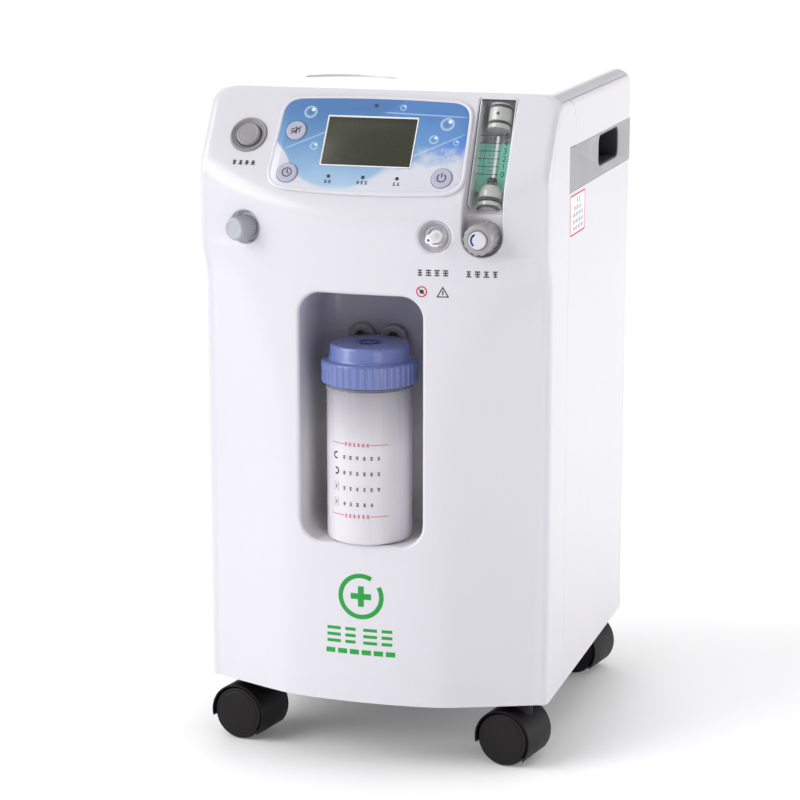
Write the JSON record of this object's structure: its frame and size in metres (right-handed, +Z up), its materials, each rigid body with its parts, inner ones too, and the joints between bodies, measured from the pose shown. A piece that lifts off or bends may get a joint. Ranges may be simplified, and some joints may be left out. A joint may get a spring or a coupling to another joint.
{
  "type": "oxygen concentrator",
  "caption": "Upright home oxygen concentrator on twin-wheel casters, with a sloped control panel, flowmeter, humidifier bottle bay and side grip bands.",
  "frame": {"origin": "on the floor under the middle of the whole object's box", "axes": "+X to the right of someone facing the front, front towards -Y, +Z up"},
  "size_m": [0.32, 0.381, 0.6],
  "materials": {
    "shell": "smooth glossy white moulding",
    "bay": "satin pale grey moulding",
    "band": "satin mid grey",
    "charcoal": "fine texture",
    "overlay": "printed film, satin",
    "display": "dark liquid crystal window",
    "key": "satin",
    "grey": "satin",
    "acrylic": "clear polished",
    "teal": "printed plate",
    "black": "fine texture",
    "blue": "satin moulding",
    "milky": "translucent",
    "aluminium": "drawn and turned",
    "cast_metal": "die cast",
    "copper": "drawn copper tube",
    "board": "circuit board",
    "foam": "open cell foam"
  },
  "bodies": {
    "cabinet": {"front_cover": "shell", "side_panel_right": "shell", "side_panel_left": "shell", "back_panel": "shell", "top_cover": "shell", "base_tray": "charcoal", "handle_band_right": "band", "handle_band_left": "band", "handle_pocket_right": "charcoal", "handle_pocket_left": "charcoal", "bottle_bay": "bay", "bay_port_left": "grey", "bay_port_right": "grey", "control_bezel": "shell", "control_overlay": "overlay", "display_module": "display", "control_board": "board", "monitor_port_ring": "grey", "auxiliary_port_socket": "grey", "outlet_socket": "milky", "outlet_nipple": "milky", "flowmeter_tube": "acrylic", "flowmeter_top_plug": "cast_metal", "flowmeter_base_fitting": "black", "flowmeter_scale": "teal", "flow_valve_body": "aluminium", "intake_foam": "foam", "power_inlet": "black", "compressor_motor": "cast_metal", "compressor_head_left": "aluminium", "compressor_head_right": "aluminium", "compressor_bracket": "cast_metal", "intake_muffler": "black", "sieve_bed_left": "aluminium", "sieve_bed_right": "aluminium", "valve_manifold": "aluminium", "product_tank": "cast_metal", "cooling_coil": "copper", "fan_shroud": "black"},
    "bottle": {"bottle_jar": "milky"},
    "lid": {"bottle_lid": "blue", "bubbler_tube": "milky"},
    "mute_key": {"button_mute": "key"},
    "timer_key": {"button_timer": "key"},
    "power_key": {"button_power": "key"},
    "monitor_key": {"button_monitor": "grey"},
    "port_cap": {"auxiliary_port_cap": "grey"},
    "flow_control": {"flow_knob": "grey", "flow_knob_cap": "shell"},
    "float": {"flow_float": "black"},
    "door": {"filter_door": "shell"},
    "fan": {"fan_rotor": "charcoal"},
    "swivel_front_left": {"caster_swivel_front_left": "black"},
    "wheels_front_left": {"caster_wheels_front_left": "black"},
    "swivel_front_right": {"caster_swivel_front_right": "black"},
    "wheels_front_right": {"caster_wheels_front_right": "black"},
    "swivel_rear_left": {"caster_swivel_rear_left": "black"},
    "wheels_rear_left": {"caster_wheels_rear_left": "black"},
    "swivel_rear_right": {"caster_swivel_rear_right": "black"},
    "wheels_rear_right": {"caster_wheels_rear_right": "black"}
  },
  "joints": [
    {"name": "mute_press", "type": "slide", "parent": "cabinet", "child": "mute_key", "axis": [0, 0.8245, -0.5659], "range_m": [0, 0.0012], "stiffness_N_per_m": 500, "springref_m": -0.0005},
    {"name": "timer_press", "type": "slide", "parent": "cabinet", "child": "timer_key", "axis": [0, 0.8245, -0.5659], "range_m": [0, 0.0012], "stiffness_N_per_m": 500, "springref_m": -0.0005},
    {"name": "power_press", "type": "slide", "parent": "cabinet", "child": "power_key", "axis": [0, 0.8245, -0.5659], "range_m": [0, 0.0012], "stiffness_N_per_m": 500, "springref_m": -0.0005},
    {"name": "monitor_press", "type": "slide", "parent": "cabinet", "child": "monitor_key", "axis": [0, 0.8245, -0.5659], "range_m": [0, 0.002], "stiffness_N_per_m": 500, "springref_m": -0.0005},
    {"name": "port_cap_turn", "type": "hinge", "parent": "cabinet", "child": "port_cap", "pos_m": [-0.112, -0.16343, 0.482], "axis": [-0.2924, -0.9563, 0], "range_deg": [0, 90]},
    {"name": "flow_knob_turn", "type": "hinge", "parent": "cabinet", "child": "flow_control", "pos_m": [0.1042, -0.165, 0.482], "axis": [0, -1, 0], "range_deg": [0, 300]},
    {"name": "float_rise", "type": "slide", "parent": "cabinet", "child": "float", "axis": [0, 0.4602, 0.8878], "range_m": [0, 0.038]},
    {"name": "bottle_pull", "type": "slide", "parent": "cabinet", "child": "bottle", "axis": [0, -1, 0], "range_m": [0, 0.16]},
    {"name": "lid_turn", "type": "hinge", "parent": "bottle", "child": "lid", "pos_m": [-0.003, -0.1435, 0.36], "axis": [0, 0, 1], "range_deg": [0, 180]},
    {"name": "filter_door_open", "type": "hinge", "parent": "cabinet", "child": "door", "pos_m": [-0.08, 0.1905, 0.38], "axis": [-1, 0, 0], "range_deg": [0, 80]},
    {"name": "fan_spin", "type": "hinge", "parent": "cabinet", "child": "fan", "pos_m": [0.07, 0.173, 0.13], "axis": [0, 1, 0], "continuous": true},
    {"name": "swivel_turn_front_left", "type": "hinge", "parent": "cabinet", "child": "swivel_front_left", "pos_m": [-0.11618, -0.12641, 0.06], "axis": [0, 0, 1], "continuous": true},
    {"name": "wheels_roll_front_left", "type": "hinge", "parent": "swivel_front_left", "child": "wheels_front_left", "pos_m": [-0.126, -0.1245, 0.025], "axis": [0.1908, 0.9816, 0], "continuous": true},
    {"name": "swivel_turn_front_right", "type": "hinge", "parent": "cabinet", "child": "swivel_front_right", "pos_m": [0.13582, -0.12641, 0.06], "axis": [0, 0, 1], "continuous": true},
    {"name": "wheels_roll_front_right", "type": "hinge", "parent": "swivel_front_right", "child": "wheels_front_right", "pos_m": [0.126, -0.1245, 0.025], "axis": [0.1908, 0.9816, 0], "continuous": true},
    {"name": "swivel_turn_rear_left", "type": "hinge", "parent": "cabinet", "child": "swivel_rear_left", "pos_m": [-0.11618, 0.14709, 0.06], "axis": [0, 0, 1], "continuous": true},
    {"name": "wheels_roll_rear_left", "type": "hinge", "parent": "swivel_rear_left", "child": "wheels_rear_left", "pos_m": [-0.126, 0.149, 0.025], "axis": [0.1908, 0.9816, 0], "continuous": true},
    {"name": "swivel_turn_rear_right", "type": "hinge", "parent": "cabinet", "child": "swivel_rear_right", "pos_m": [0.13582, 0.14709, 0.06], "axis": [0, 0, 1], "continuous": true},
    {"name": "wheels_roll_rear_right", "type": "hinge", "parent": "swivel_rear_right", "child": "wheels_rear_right", "pos_m": [0.126, 0.149, 0.025], "axis": [0.1908, 0.9816, 0], "continuous": true}
  ]
}
